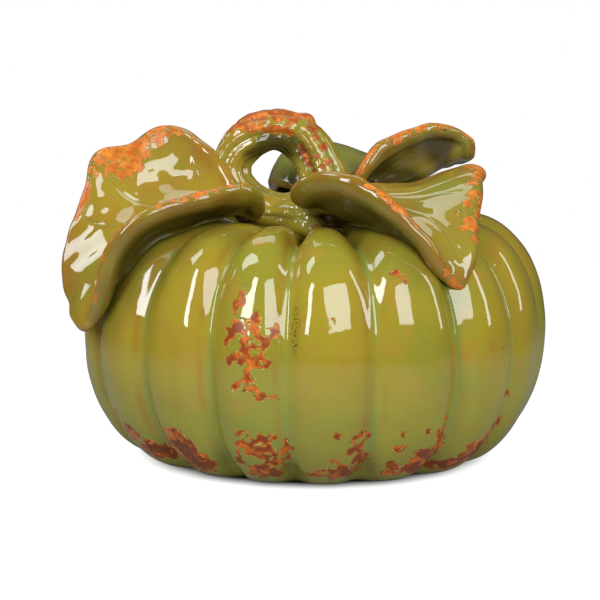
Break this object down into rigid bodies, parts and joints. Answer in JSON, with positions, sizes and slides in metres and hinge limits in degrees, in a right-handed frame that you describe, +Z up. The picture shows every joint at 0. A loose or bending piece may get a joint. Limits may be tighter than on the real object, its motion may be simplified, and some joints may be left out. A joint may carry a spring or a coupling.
{
  "type": "ceramic pumpkin figure",
  "caption": "Hollow ribbed ceramic pumpkin with a fluted stem bent into a finger loop and broad ivy-shaped leaves laid over its shoulders.",
  "frame": {"origin": "on the ground, at the centre of the foot ring", "axes": "+Z up, -Y towards the viewer who sees the finger loop open, +X to that viewer's right"},
  "size_m": [0.2762, 0.2691, 0.1991],
  "materials": {
    "body_glaze": "olive green crackle glaze, glossy, worn through to orange and brown clay",
    "stem_glaze": "olive glaze with orange showing along the ridges, glossy",
    "leaf_glaze": "olive green glaze with orange worn rims, glossy"
  },
  "bodies": {
    "root": {"pumpkin_body": "body_glaze", "stem_loop": "stem_glaze", "stem_foot": "stem_glaze", "leaf_left": "leaf_glaze", "leaf_right": "leaf_glaze", "leaf_back_right": "leaf_glaze", "leaf_back": "leaf_glaze"}
  },
  "joints": []
}
